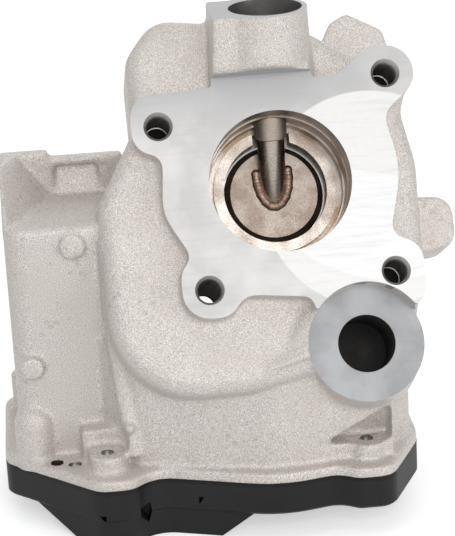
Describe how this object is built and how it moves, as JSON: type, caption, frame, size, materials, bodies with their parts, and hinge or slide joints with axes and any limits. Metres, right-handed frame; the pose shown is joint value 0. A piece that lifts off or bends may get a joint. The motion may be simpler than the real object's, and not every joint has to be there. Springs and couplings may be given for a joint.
{
  "type": "EGR valve",
  "caption": "Motor-driven exhaust gas recirculation valve with a swivelling flap in a cast aluminium water-jacketed body, a geared actuator and a plastic cover.",
  "frame": {"origin": "centre of the gas inlet bore, on the milled inlet face", "axes": "+Z along the flap shaft, up through the open boss; +X to the right as seen from the inlet; the inlet face leans back, so its normal points along -Y and 28 degrees above level"},
  "size_m": [0.1361, 0.0966, 0.147],
  "materials": {
    "cast_aluminium": "blasted casting with milled faces",
    "stainless": "turned, heat tinted",
    "weld": "rippled weld, brown tint",
    "bronze": "sintered",
    "seal_rubber": "matte",
    "zinc_steel": "zinc plated",
    "bright_steel": "ground",
    "sintered_steel": "sintered",
    "wheel_plastic": "moulded",
    "magnet": "ferrite",
    "winding": "enamelled copper on a laminated core",
    "carbon": "pressed carbon",
    "cover_plastic": "glass-filled, charcoal",
    "pin_tin": "tinned",
    "board": "solder resist",
    "chip": "moulded"
  },
  "bodies": {
    "housing": {"valve_housing": "cast_aluminium", "seat_ring": "stainless", "upper_bush": "bronze", "lower_bush": "bronze", "shaft_seal": "seal_rubber", "bearing_plug": "zinc_steel", "idler_pin": "bright_steel", "return_spring": "bright_steel", "motor_can": "zinc_steel", "motor_top_bush": "bronze", "motor_magnets": "magnet", "motor_plate": "zinc_steel", "motor_front_bush": "bronze", "motor_damper": "seal_rubber", "brush_holder": "cover_plastic", "motor_brushes": "carbon", "motor_screws": "zinc_steel", "gear_cover": "cover_plastic", "cover_gasket": "seal_rubber", "cover_screws": "zinc_steel", "cover_dowel": "bright_steel", "connector_pins": "pin_tin", "sensor_board": "board", "position_sensor": "chip"},
    "flap": {"flap_disc": "stainless", "flap_shaft": "stainless", "shaft_clip": "bright_steel", "weld_bead": "weld", "sector_gear": "sintered_steel", "sensor_magnet": "magnet"},
    "idler": {"idler_wheel": "wheel_plastic", "idler_pinion": "bright_steel"},
    "rotor": {"motor_shaft": "bright_steel", "motor_armature": "winding", "motor_commutator": "winding", "motor_pinion": "bright_steel"}
  },
  "joints": [
    {"name": "flap_turn", "type": "hinge", "parent": "housing", "child": "flap", "pos_m": [0, 0.02207, 0], "axis": [0, 0, 1], "range_deg": [0, 90], "stiffness_Nm_per_rad": 0.03, "springref_deg": -28.65},
    {"name": "idler_turn", "type": "hinge", "parent": "housing", "child": "idler", "pos_m": [-0.0328, 0.02207, 0], "axis": [0, 0, 1], "range_deg": [-440, 2]},
    {"name": "rotor_turn", "type": "hinge", "parent": "housing", "child": "rotor", "pos_m": [-0.0615, 0.02207, 0], "axis": [0, 0, 1], "range_deg": [-10, 1815]}
  ],
  "couplings": [
    {"joint": "idler_turn", "follows": "flap_turn", "ratio": -4.8571},
    {"joint": "rotor_turn", "follows": "flap_turn", "ratio": 20.036}
  ]
}
